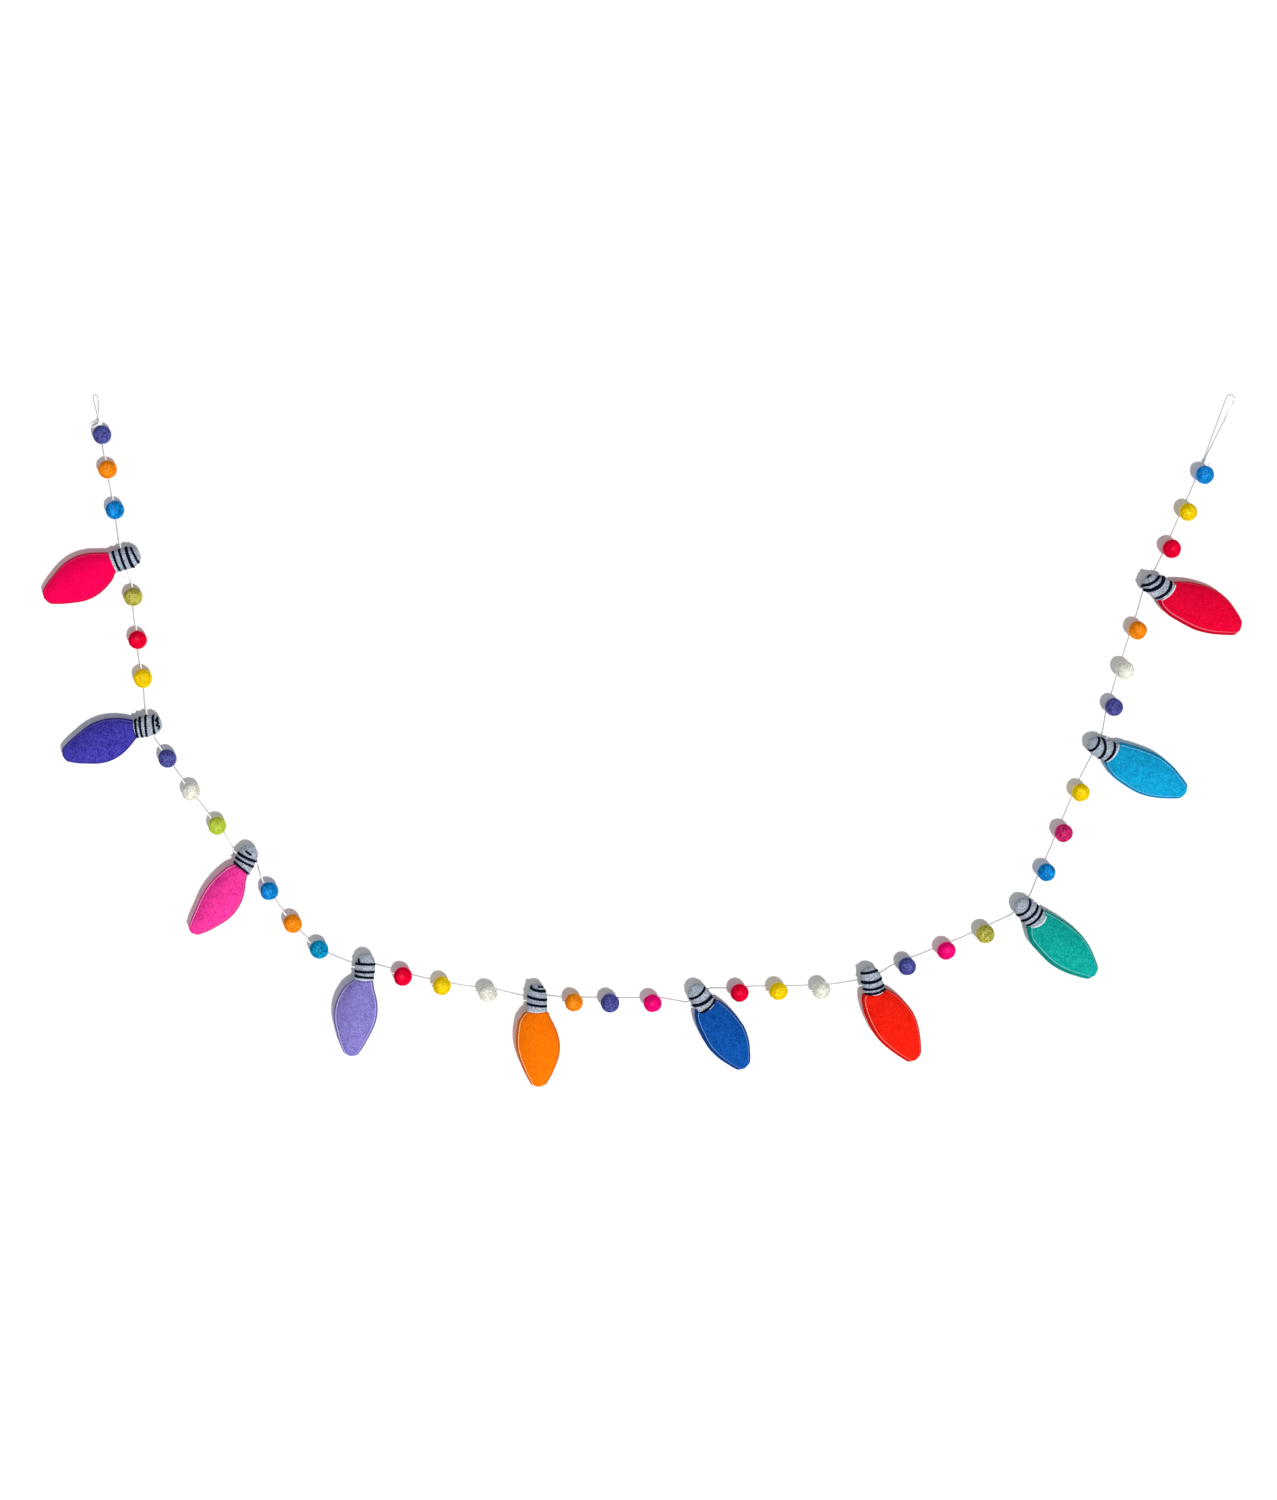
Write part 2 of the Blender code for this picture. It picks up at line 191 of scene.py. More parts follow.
def spaced(points, step):
    """Points at even steps along a line, as an array."""
    line = np.array([tuple(point) for point in points])
    along = np.concatenate([[0], np.cumsum(np.linalg.norm(np.diff(line, axis=0), axis=1))])
    at = np.linspace(0, along[-1], max(3, round(along[-1] / step) + 1))
    return np.stack([np.interp(at, along, line[:, axis]) for axis in range(3)], axis=1)


def facing_out(mesh):
    """Turn a mesh's faces outward and shade them smooth."""
    shape = bmesh.new()
    shape.from_mesh(mesh)
    bmesh.ops.recalc_face_normals(shape, faces=shape.faces)
    shape.to_mesh(mesh)
    shape.free()
    mesh.shade_smooth()


def skin(name, rings, closed=False):
    """A mesh over rings of points. It joins its last ring to its first, or closes each end."""
    rings = np.asarray(rings)
    rows, sides = rings.shape[:2]
    faces = []
    for row in range(rows if closed else rows - 1):
        here = row * sides
        there = (row + 1) % rows * sides
        for side in range(sides):
            after = (side + 1) % sides
            faces.append((here + side, here + after, there + after, there + side))
    points = rings.reshape(-1, 3)
    if not closed:
        for end, order in ((0, 1), (rows - 1, -1)):
            centre = len(points)
            points = np.vstack([points, rings[end].mean(axis=0)])
            ring = [end * sides + side for side in range(sides)][::-order]
            faces.extend((a, b, centre) for a, b in zip(ring, ring[1:] + ring[:1]))
    mesh = bpy.data.meshes.new(name)
    mesh.from_pydata(points.tolist(), [], faces)
    facing_out(mesh)
    return mesh


def add_piece(name, mesh, finish):
    """Show a mesh as a piece of the garland, with its material, riding on the root body."""
    piece = bpy.data.objects.new(name, mesh)
    bpy.context.scene.collection.objects.link(piece)
    mesh.materials.append(finish)
    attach(piece, "root")
    return piece


def yarn_rings(line, radius, plies, twist, sides, closed=False):
    """Rings of a twisted yarn round a line, whose plies stand out as ridges."""
    if closed:
        tangents = np.roll(line, -1, axis=0) - np.roll(line, 1, axis=0)
    else:
        tangents = np.gradient(line, axis=0)
    tangents /= np.linalg.norm(tangents, axis=1)[:, None]
    radius = np.broadcast_to(radius, len(line))
    side = np.cross(tangents[0], TWIST_START)
    along = 0.0
    rings = []
    for row, (point, tangent) in enumerate(zip(line, tangents)):
        side = side - tangent * side.dot(tangent)
        side /= np.linalg.norm(side)
        other = np.cross(tangent, side)
        if row:
            along += np.linalg.norm(point - line[row - 1])
        ring = []
        for step in range(sides):
            angle = 2 * math.pi * step / sides
            reach = radius[row] * (1 - PLY_DEPTH + PLY_DEPTH * math.cos(plies * angle))
            turned = angle + 2 * math.pi * along / twist
            ring.append(point + (side * math.cos(turned) + other * math.sin(turned)) * reach)
        rings.append(ring)
    return np.array(rings)


class Shade:
    """An output in a material's nodes that is added, multiplied and so on like a number."""

    def __init__(self, tree, socket=None):
        self.tree = tree
        self.socket = socket

    def node(self, kind, settings=None, values=None, output=0):
        """Add a node of any type: its settings first, then its sockets' values or links."""
        added = self.tree.nodes.new(kind)
        for setting, value in (settings or {}).items():
            setattr(added, setting, value)
        for key, value in (values or {}).items():
            if isinstance(value, Shade):
                self.tree.links.new(value.socket, added.inputs[key])
            else:
                added.inputs[key].default_value = value
        return Shade(self.tree, added.outputs[output])

    def maths(self, operation, *values):
        """Add a Math node over values or outputs."""
        return self.node("ShaderNodeMath", {"operation": operation}, dict(enumerate(values)))

    def __add__(self, other):
        return self.maths("ADD", self, other)

    def __sub__(self, other):
        return self.maths("SUBTRACT", self, other)

    def __rsub__(self, other):
        return self.maths("SUBTRACT", other, self)

    def __mul__(self, other):
        return self.maths("MULTIPLY", self, other)

    def __abs__(self):
        return self.maths("ABSOLUTE", self)

    __radd__ = __add__
    __rmul__ = __mul__

    def kept(self):
        """The value, held between 0 and 1."""
        return self.node("ShaderNodeClamp", None, {0: self})

    def blend(self, first, second):
        """A colour on the way from the first to the second, by this value."""
        settings = {"data_type": "RGBA", "clamp_factor": True}
        return self.node("ShaderNodeMix", settings, {0: self, 6: first, 7: second}, output=2)

    def grain(self, scale, detail=2.0, roughness=0.5, distortion=0.0):
        """A cloudy pattern over these coordinates, in features per millimetre."""
        values = {
            "Vector": self,
            "Scale": scale,
            "Detail": detail,
            "Roughness": roughness,
            "Distortion": distortion,
        }
        return self.node("ShaderNodeTexNoise", None, values)

    def hairs(self, scale, width, distortion):
        """Thin curled lines over these coordinates: 1 on a fibre and 0 off it."""
        return (1 - abs(self.grain(scale, 1.0, 0.4, distortion) - 0.5) * (1 / width)).kept()


def linear(colour, gain=1.0):
    """A colour of 0 to 255 as the shader takes it."""
    return tuple(min((channel / 255) ** DISPLAY_GAMMA * gain, 1.0) for channel in colour) + (1.0,)


def new_material(name, roughness, sheen, sheen_roughness):
    """An empty material: its surface shader and the coordinates in millimetres."""
    made = bpy.data.materials.new(name)
    made.use_nodes = True
    surface = made.node_tree.nodes["Principled BSDF"]
    surface.inputs["Roughness"].default_value = roughness
    surface.inputs["Specular IOR Level"].default_value = MATT_SPECULAR
    surface.inputs["Sheen Weight"].default_value = sheen
    surface.inputs["Sheen Roughness"].default_value = sheen_roughness
    start = Shade(made.node_tree)
    coordinates = start.node("ShaderNodeTexCoord", output=3)
    settings = {"operation": "SCALE"}
    millimetres = start.node("ShaderNodeVectorMath", settings, {0: coordinates, "Scale": 1 / MM})
    return made, surface, millimetres


def dress(made, surface, colour, height, strength, distance):
    """Join a colour and a bump to a material's surface."""
    made.node_tree.links.new(colour.socket, surface.inputs["Base Color"])
    values = {"Height": height, "Strength": strength, "Distance": distance}
    bump = height.node("ShaderNodeBump", None, values)
    made.node_tree.links.new(bump.socket, surface.inputs["Normal"])


def string_material():
    """White cotton, with a trace of grey in the grooves of its plies."""
    made, surface, at = new_material("string_cotton", 0.85, 0.2, 0.5)
    lint = at.hairs(1.7, 0.06, 0.6)
    tone = at.grain(2.4, 3.0, 0.6)
    colour = (tone * 0.7 + lint * 0.4).blend(linear(STRING_WHITE, 0.86), linear(STRING_BRIGHT))
    dress(made, surface, colour, tone * 0.6 + lint * 0.4, 0.35, STRING_RELIEF)
    return made


def knot_line(centre, size, upward):
    """The string drawn up in an overhand knot, as one closed line."""
    turn = np.linspace(0, 2 * math.pi, KNOT_POINTS, endpoint=False)
    across = (np.sin(turn) + 2 * np.sin(2 * turn)) / 3
    along = (np.cos(turn) - 2 * np.cos(2 * turn)) / 3
    deep = -np.sin(3 * turn) * KNOT_DEPTH
    sideways = Vector((upward.z, 0, -upward.x))
    line = np.outer(across, sideways) + np.outer(along, upward) + np.outer(deep, (0, 1, 0))
    return line * size + np.array(centre)


cotton = string_material()
route, ball_runs = string_route()
string_line = spaced(eased(route, BEND_EASE), STRING_STEP)
ply_reach = STRING_DIAMETER / 2 * PLY_RIDGE
string_skin = yarn_rings(string_line, ply_reach, 3, STRING_TWIST, STRING_SIDES)
string = add_piece("garland_string", skin("garland_string", string_skin), cotton)
for name, loop in (("left_knot", LEFT_LOOP), ("right_knot", RIGHT_LOOP)):
    knot_place = place(*loop[0]) + Vector((0, -STRAND_PITCH / 2, 0))
    upward = (place(*loop[1]) - place(*loop[0])).normalized()
    line = knot_line(knot_place, KNOT_SIZE, upward)
    rings = yarn_rings(line, ply_reach, 3, STRING_TWIST, STRING_SIDES, closed=True)
    add_piece(name, skin(name, rings, closed=True), cotton)
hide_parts("string")


# The balls are dyed wool, rolled wet until it felts into a firm bead that is never quite round.
# A needle draws the string through the middle, which leaves a dimple at each end.
BALL_DIAMETER = 18.6 * MM
BALL_UNEVENNESS = 0.035
BALL_SEED = 33
BALL_ROWS = 34
BALL_SIDES = 46
BORE_RADIUS = 0.8 * MM
BORE_HEIGHTS = (-0.985, -0.93, -0.4, 0.4, 0.93, 0.985)
MOUTH_ANGLE = 0.17
MOUTH_FLARE = 1.25
BALL_LUMP = 0.42 * MM
BALL_NAP = 0.16 * MM
LUMPS_ROUND = 1.5
NAP_ROUND = 7.0
FUZZ_ROUND = 17.0
FUZZ_SHARE = 0.6

# Painted highlight makes a ball paler round its outline, painted shade deeper in a band within
# that, and a faint painted highlight pales its front: how far towards the front or the back, and
# its painted shade (over 0) or painted highlight (under 0)
BALL_PAINTED_LIGHT = ((0.0, -0.45), (0.22, -0.38), (0.42, 0.12), (0.62, 0.28), (0.85, 0.1), (1.0, -0.06))
BALL_COLOURS = (
    "indigo", "tangerine", "blue", "olive", "red", "yellow", "indigo", "cream", "lime",
    "blue", "tangerine", "peacock", "red", "yellow", "cream", "tangerine", "indigo", "rose",
    "red", "yellow", "cream", "indigo", "rose", "olive", "blue", "magenta", "yellow",
    "indigo", "cream", "tangerine", "red", "yellow", "blue",
)
WOOL_COLOURS = {
    "indigo": (71, 74, 154),
    "tangerine": (255, 134, 22),
    "blue": (10, 130, 220),
    "olive": (185, 180, 70),
    "red": (235, 0, 50),
    "yellow": (247, 205, 15),
    "cream": (233, 231, 217),
    "lime": (186, 205, 65),
    "peacock": (0, 145, 200),
    "rose": (247, 12, 112),
    "magenta": (218, 32, 104),
}

# How mottled the wool is, how much lighter its light fibres are, how bright it is altogether and
# how far its curls show. The deeper colours show them most.
CURLED_WOOLS = ("indigo", "blue", "olive", "peacock", "magenta")
CURLED_LOOK = (0.4, 0.25, 0.79, 3.2)
SMOOTH_LOOK = (0.25, 0.15, 0.86, 2.0)

# How many clouds, mottles, fibres and curls of the felt there are to a millimetre, and then how
# deep its relief is and how far its colour goes where it is mottled, painted in shade or painted
# as a highlight
CLOUDS_PER_MM = 0.16
MOTTLES_PER_MM = 0.6
LIGHT_FIBRES_PER_MM = 0.5
DARK_FIBRES_PER_MM = 0.65
CURLS_PER_MM = 0.3
FELT_RELIEF = 0.7 * MM
MOTTLE_LIFT = 0.65
PAINTED_SHADE_SHARE = 0.72
PAINTED_HIGHLIGHT_SHARE = 0.5


def paler(colour, share):
    """A colour on the way to white."""
    return [channel + (255 - channel) * share for channel in colour]


def deeper(colour, share):
    """A colour at a share of its brightness."""
    return [channel * share for channel in colour]


def felt_material(name, colour, depth, lighter=0.5, gain=0.8, swirl=0.0):
    """Dyed felt: curled fibres, lighter and darker, over a faint cloudiness of the dye.

    Depth is how mottled it is, and swirl how far the broad curls of rolled wool show.
    Where a piece's painted light is over 0 it is painted darker as shade, and under 0 paler as a
    highlight.
    """
    made, surface, at = new_material(name, 0.95, 0.0, 0.6)
    gain *= 1 + depth * MOTTLE_LIFT
    rim = at.node("ShaderNodeAttribute", {"attribute_name": "rim"}, output=2)
    clouds = at.grain(CLOUDS_PER_MM, 2.0, 0.5)
    mottle = at.grain(MOTTLES_PER_MM, 3.0, 0.65, 0.6)
    light_hairs = at.hairs(LIGHT_FIBRES_PER_MM, 0.06, 2.2)
    dark_hairs = at.hairs(DARK_FIBRES_PER_MM, 0.08, 1.8)
    tone = 0.5 + (clouds - 0.5) * 0.7 + (mottle - 0.5) * 2.0
    tone = tone + light_hairs * 0.5 - dark_hairs * 0.42
    if swirl:
        tone += (at.grain(CURLS_PER_MM, 1.0, 0.5, 1.8) - 0.5) * swirl
    dark = linear(deeper(colour, 1 - depth), gain)
    light = linear(paler(colour, depth * lighter), gain * 1.08)
    felt = tone.kept().blend(dark, light)
    # Painted shade darkens the felt, and a painted highlight makes it paler, as each point's note
    # says
    felt = (rim * 0.85).kept().blend(felt, linear(deeper(colour, PAINTED_SHADE_SHARE), gain * 0.9))
    felt = (rim * -0.9).kept().blend(felt, linear(paler(colour, PAINTED_HIGHLIGHT_SHARE), gain * 1.2))
    height = mottle * 0.45 + light_hairs * 0.35 + dark_hairs * 0.2
    dress(made, surface, felt, height, 0.55, FELT_RELIEF)
    return made


def note_painted_light(mesh, shares):
    """Note at each point of a mesh its painted light, from -1 for a painted highlight to 1 for
    painted shade.
    """
    layer = mesh.attributes.new("rim", "FLOAT", "POINT")
    layer.data.foreach_set("value", list(shares) + [0.0] * (len(mesh.vertices) - len(shares)))


def ball_rings(seat, along, radius, half_height, seed):
    """Rings round a ball's bore, down its outside and back up through the bore."""
    turn = along.to_track_quat("Z", "Y").to_matrix()
    angles = np.linspace(MOUTH_ANGLE, math.pi - MOUTH_ANGLE, BALL_ROWS)
    profile = [(radius * math.sin(a), half_height * math.cos(a)) for a in angles]
    lip = half_height * math.cos(MOUTH_ANGLE)
    for height in BORE_HEIGHTS:
        at_mouth = abs(height) == BORE_HEIGHTS[-1]
        profile.append((BORE_RADIUS * (MOUTH_FLARE if at_mouth else 1), lip * height))
    rings = []
    for row, (wide, high) in enumerate(profile):
        ring = []
        for side in range(BALL_SIDES):
            angle = 2 * math.pi * side / BALL_SIDES
            local = Vector((wide * math.cos(angle), wide * math.sin(angle), high))
            if row < BALL_ROWS:
                way = local.normalized()
                lump = noise.noise(way * LUMPS_ROUND + Vector((seed * 3.1, 0, 0))) * BALL_LUMP
                nap = noise.noise(way * NAP_ROUND + Vector((0, seed * 2.3, 0))) * BALL_NAP
                fuzz = noise.noise(way * FUZZ_ROUND + Vector((0, 0, seed * 1.7)))
                nap += fuzz * BALL_NAP * FUZZ_SHARE
                local += way * (lump + nap)
            ring.append(seat + turn @ local)
        rings.append(ring)
    return rings


wools = {}
for wool, colour in WOOL_COLOURS.items():
    curls = CURLED_LOOK if wool in CURLED_WOOLS else SMOOTH_LOOK
    wools[wool] = felt_material(f"wool_{wool}", colour, *curls)
chance = random.Random(BALL_SEED)
for index, (middle, run) in enumerate(ball_runs):
    number = index + 1
    stretch = route[run + 1] - route[run]
    seat = route[run] + stretch * ((middle - route[run]).dot(stretch) / stretch.length_squared)
    radius = BALL_DIAMETER / 2 * (1 + chance.uniform(-BALL_UNEVENNESS, BALL_UNEVENNESS))
    half_height = BALL_DIAMETER / 2 * (1 + chance.uniform(-BALL_UNEVENNESS, BALL_UNEVENNESS))
    rings = ball_rings(seat, stretch, radius, half_height, number)
    name = f"wool_ball_{number:02d}"
    mesh = skin(name, rings, closed=True)
    # Each ball is painted paler round its outline as a highlight, and darker in a band within that
    # as shade
    facing = [abs(point.y - seat.y) / radius for ring in rings for point in ring]
    note_painted_light(mesh, np.interp(facing, *zip(*BALL_PAINTED_LIGHT)))
    wool = BALL_COLOURS[index]
    ball = add_piece(name, mesh, wools[wool])
    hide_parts(f"ball_{number:02d}")


# A bulb's body is two felt panels of one colour, overcast together round the edge with matching
# thread and stuffed firm, so it is fat in the middle and thins towards the seam. The front
# panel's cut edge stands up a little inside the outline, with the whipped rim beyond it.
# Painted shade darkens the whipped rim and the groove inside the cut edge, and a painted
# highlight pales the cut edge.
BODY_DEPTH = 24.0 * MM
BODY_ROWS = 84
NECK_TO_EDGE = 0.97
NECK_SHARE = 0.12
NECK_BEND_GAIN = 1.0 / (1.0 - NECK_SHARE / 2)
NECK_TUCK = 1.6 * MM
HEM_REACH = 1.1
PANEL_CROWN = 1.15
STUFFING_LUMP = 0.4 * MM
STUFFING_PITCH = 55
SMALL_LUMPS = 3.1
SMALL_LUMP_SHARE = 0.35
THINNEST = 0.01 * MM
TIP_FADE = 4 * MM
SEAM_FULL_WIDTH = 9.0 * MM
SEAM_FARTHEST = 0.2
SEAM_SHOWN = 1.6
SEAM_PITCH = 3.0 * MM
EDGE_FADE = 0.5
STITCH_SLANT = 0.4
STITCH_UNEVENNESS = 0.15
STITCH_LIFT = 0.6
STITCH_SUNK = -2.0
THREAD_RADIUS = 0.24 * MM
THREAD_TWIST = 1.6 * MM
THREAD_SIDES = 6
THREAD_RELIEF = 0.1 * MM
FRONT_ANGLES = 11
BACK_ANGLES = 15

# Per bulb, in mm and degrees, on two lines. First its felt, colour and how mottled that is; how
# far the front panel's edge lies inside the outline on the left and on the right, and how strong
# the painted highlight on it is there; the body's lean; the body's and the socket's lengths; and
# how far the string passes above the socket's lower edge. Then the body's greatest width, how
# broad its shoulders are, and how far it curves to one side near the neck, halfway and at the
# tip; the socket's width in its middle and at its lower edge; and how far that edge rises at its
# left, in its middle and at its right.
Bulb = namedtuple(
    "Bulb",
    "felt colour mottle seams lean body_length socket_length threaded_at width shoulder "
    "neck_shift middle_shift tip_shift socket_width edge_width hem",
)
BULBS = (
    Bulb(
        "hot_pink", (250, 0, 80), 0.12, (2.0, 1.2, 0.3, 0.05), -61, 78, 28.5, 11.5,
        44.5, 0.15, 0.5, -0.5, -1.7, 22.5, 21.0, (-0.7, 0.1, 1.3),
    ),
    Bulb(
        "violet", (42, 36, 160), 0.34, (1.7, 1.2, 0.35, 0.1), -70, 78, 27, 15,
        41.5, 0.0, -1.0, 0.9, 0.2, 22.0, 18.5, (1.0, -0.2, 0.2),
    ),
    Bulb(
        "pink", (255, 42, 150), 0.26, (1.6, 1.3, 1.9, 0.3), -37, 82, 25, 11.5,
        37.5, 0.0, -2.8, 2.2, -1.3, 21.0, 19.0, (3.0, 0.4, -1.2),
    ),
    Bulb(
        "lavender", (126, 116, 200), 0.26, (1.8, 1.4, 1.9, 0.8), -9, 78.5, 26.5, 11,
        43.0, 0.0, -2.8, -3.1, -1.4, 20.5, 19.0, (0.0, -1.0, 0.3),
    ),
    Bulb(
        "orange", (255, 116, 5), 0.12, (2.2, 1.4, 1.7, 0.1), 0, 76, 27, 10.5,
        43.5, 0.4, -3.3, 1.3, 1.4, 20.5, 20.0, (0.3, -0.9, 0.3),
    ),
    Bulb(
        "royal_blue", (0, 71, 165), 0.24, (3.4, 1.6, 0.75, 0.6), 31, 70, 28.5, 10,
        41.5, 0.9, -0.8, 1.1, 1.2, 21.5, 21.0, (4.8, -0.4, 3.0),
    ),
    Bulb(
        "scarlet", (250, 30, 15), 0.13, (3.0, 1.4, 0.9, 0.5), 31, 79, 27, 11,
        44.0, 0.55, -1.5, 0.8, 0.0, 21.5, 22.0, (4.0, -1.9, 0.8),
    ),
    Bulb(
        "teal", (0, 164, 152), 0.26, (3.6, 1.8, 0.85, 0.75), 46, 77.5, 31, 18,
        42.5, 1.0, -3.2, -1.2, 0.3, 23.0, 23.5, (3.6, -2.7, 0.5),
    ),
    Bulb(
        "turquoise", (0, 156, 214), 0.26, (2.0, 2.8, 0.6, 0.9), 61, 80.3, 30.5, 15,
        43.0, 0.9, -2.8, -1.1, 1.1, 21.5, 22.5, (5.6, 0.9, 1.9),
    ),
    Bulb(
        "crimson", (232, 0, 48), 0.15, (2.6, 1.4, 0.8, 0.2), 61, 78.3, 31.5, 19,
        45.0, 0.95, -2.0, 2.8, 2.6, 22.5, 23.5, (6.0, 0.4, 0.6),
    ),
)

# Sections of a body from its neck to its tip: share of the length, of the half width with
# narrow and with broad shoulders, of the half depth, and of the socket edge's bow
BODY_SECTIONS = (
    (0.00, 0.00, 0.63, 0.62, 1.0),
    (0.03, 0.47, 0.70, 0.67, 0.8),
    (0.08, 0.585, 0.80, 0.74, 0.5),
    (0.15, 0.735, 0.895, 0.83, 0.2),
    (0.25, 0.89, 0.95, 0.93, 0.0),
    (0.36, 0.985, 0.99, 0.99, 0.0),
    (0.48, 1.00, 1.00, 1.00, 0.0),
    (0.60, 0.92, 0.93, 0.95, 0.0),
    (0.72, 0.76, 0.80, 0.83, 0.0),
    (0.84, 0.585, 0.60, 0.66, 0.0),
    (0.92, 0.43, 0.45, 0.49, 0.0),
    (0.97, 0.30, 0.31, 0.33, 0.0),
    (1.00, 0.00, 0.00, 0.00, 0.0),
)

# Across the whipped rim, from the outline to the front panel's edge: share of the way in, how
# far the felt stands out in mm, and its painted shade (over 0) or painted highlight (under 0)
RIM_PROFILE = (
    (0.00, 0.12, 0.80),
    (0.25, 0.16, 0.50),
    (0.55, 0.05, 0.55),
    (0.80, -0.15, 0.85),
    (0.95, -0.22, 0.90),
)

# From the cut edge on over the front panel, with the way in in mm
EDGE_PROFILE = (
    (0.00, 0.15, -0.30),
    (0.22, 0.40, -1.00),
    (0.60, 0.42, -1.00),
    (0.90, 0.20, -0.50),
    (1.25, 0.02, 0.15),
    (2.00, 0.00, 0.00),
)

# The points of a section that a stitch runs over, from the front panel round to the back:
# counted back from the outline on the right, and on from the front panel on the left
RIGHT_STITCH = (10, 8, 6, 4, 2, 1, 0, -1)
LEFT_STITCH = (1, 3, 5, 7, 9, 10, 11, 12)


def smooth_sections(sections, rows):
    """Sections in mm of height, half width, half depth and sag, drawn out as many smooth rows."""
    table = np.array(sections)
    past = -table[-2]
    past[0] += 2 * table[-1][0]
    held = np.vstack([2 * table[0] - table[1], table, past])
    along = np.concatenate([[0], np.cumsum(np.hypot(*np.diff(table[:, :2], axis=0).T))])
    drawn = []
    for at in np.linspace(0, along[-1], rows):
        index = min(int(np.searchsorted(along, at, side="right")) - 1, len(table) - 2)
        t = (at - along[index]) / (along[index + 1] - along[index])
        a, b, c, d = held[index:index + 4]
        bend = 2 * b + (c - a) * t + (2 * a - 5 * b + 4 * c - d) * t**2
        drawn.append((bend + (3 * b - a - 3 * c + d) * t**3) / 2)
    return np.array(drawn)


def bulb_frame(number):
    """Turns a bulb's own axes, with the string's crossing at their origin, into its place."""
    across, drop, lean = CROSSINGS[number - 1]
    return Matrix.Translation(place(across, drop)) @ Matrix.Rotation(-math.radians(lean), 4, "Y")


def body_sections(bulb):
    """A body's smooth sections, with its neck tucked up inside the socket's hem."""
    table = []
    for share, narrow, broad, deep, bow in BODY_SECTIONS:
        half_width = (narrow + (broad - narrow) * bulb.shoulder) * bulb.width / 2
        if share == 0:
            half_width = max(NECK_TO_EDGE * bulb.edge_width / 2, half_width)
        table.append((share * bulb.body_length, half_width, deep * BODY_DEPTH / 2 / MM, bow))
    drawn = smooth_sections(table, BODY_ROWS)
    tuck = NECK_TUCK / MM
    for row in drawn:
        row[1:3] -= tuck * (1 - bulb.shoulder) * max(1 - row[0] / tuck, 0)
    top = drawn[0].copy()
    top[0] = -tuck
    whole = np.vstack([top, drawn])
    whole[:, :3] *= MM
    whole[:, 1:3] = np.maximum(whole[:, 1:3], THINNEST)
    return whole


def hem_curve(bulb):
    """How much higher the corners of the socket's lower edge are than its middle, in mm."""
    left, middle, right = bulb.hem
    return (left + right) / 2 - middle


def hem_rise(bulb, across):
    """How far the socket's lower edge lies above its straight place, at a distance across."""
    left, middle, right = bulb.hem
    share = across / (bulb.edge_width * MM / 2)
    share = min(max(share, -HEM_REACH), HEM_REACH)
    return (middle + (right - left) / 2 * share + hem_curve(bulb) * share**2) * MM


def body_line(number, heights):
    """The middle and the turn of each of a body's sections, in the bulb's own axes."""
    bulb = BULBS[number - 1]
    bend = math.radians(bulb.lean - CROSSINGS[number - 1][2]) * NECK_BEND_GAIN

    def turned(share):
        ease = min(max(share / NECK_SHARE, 0.0), 1.0)
        return bend * ease * ease * (3 - 2 * ease)

    line_point = Vector((0, 0, -bulb.threaded_at * MM))
    reached = 0.0
    line = []
    for share in heights / (bulb.body_length * MM):
        turn = turned((share + reached) / 2)
        stride = (share - reached) * bulb.body_length * MM
        line_point = line_point + Vector((math.sin(turn), 0, -math.cos(turn))) * stride
        reached = share
        shift = bulb.neck_shift * (1 - share) * (1 - 2 * share)
        shift += bulb.middle_shift * 4 * share * (1 - share)
        shift += bulb.tip_shift * share * (2 * share - 1)
        shift *= min(max(share / NECK_SHARE, 0), 1)
        turn = turned(share)
        sideways = Vector((math.cos(turn), 0, math.sin(turn)))
        line.append((line_point + sideways * (shift * MM), turn))
    return line


def seam_profile(half_width, inset, pale):
    """Round half a section, from its outline over the front to its middle: angle, how far the felt
    stands out, and its painted shade or highlight.
    """
    fade = min(half_width / SEAM_FULL_WIDTH, 1.0)
    whole = [(inset * share, stands, deep) for share, stands, deep in RIM_PROFILE]
    whole += [(inset + onward, stands, deep) for onward, stands, deep in EDGE_PROFILE]
    points = []
    for inside, stands, deep in whole:
        angle = math.acos(max(1 - inside * MM * fade / half_width, SEAM_FARTHEST))
        shown = pale if deep < 0 else 1
        points.append((angle, stands * MM * fade, deep * shown * min(fade * SEAM_SHOWN, 1)))
    last = points[-1][0]
    for step in range(1, FRONT_ANGLES):
        points.append((last + (math.pi / 2 - last) * step / FRONT_ANGLES, 0.0, 0.0))
    return points


def body_round(half_width, seams, share):
    """Each point round a section: angle, how far its felt stands out, and its painted shade or
    highlight.
    """
    left_inset, right_inset, left_pale, right_pale = seams
    # The painted highlight on the cut edge fades towards the tip
    highlight_fading = 1 - EDGE_FADE * share
    right = seam_profile(half_width, right_inset, right_pale * highlight_fading)
    right = [(-angle, *felt) for angle, *felt in right]
    left = seam_profile(half_width, left_inset, left_pale * highlight_fading)
    left = [(angle - math.pi, *felt) for angle, *felt in left]
    middle = [(-math.pi / 2, 0.0, 0.0)]
    back = [(math.pi * step / BACK_ANGLES, 0.0, 0.0) for step in range(1, BACK_ANGLES)]
    return right + middle + left[::-1] + back[::-1]


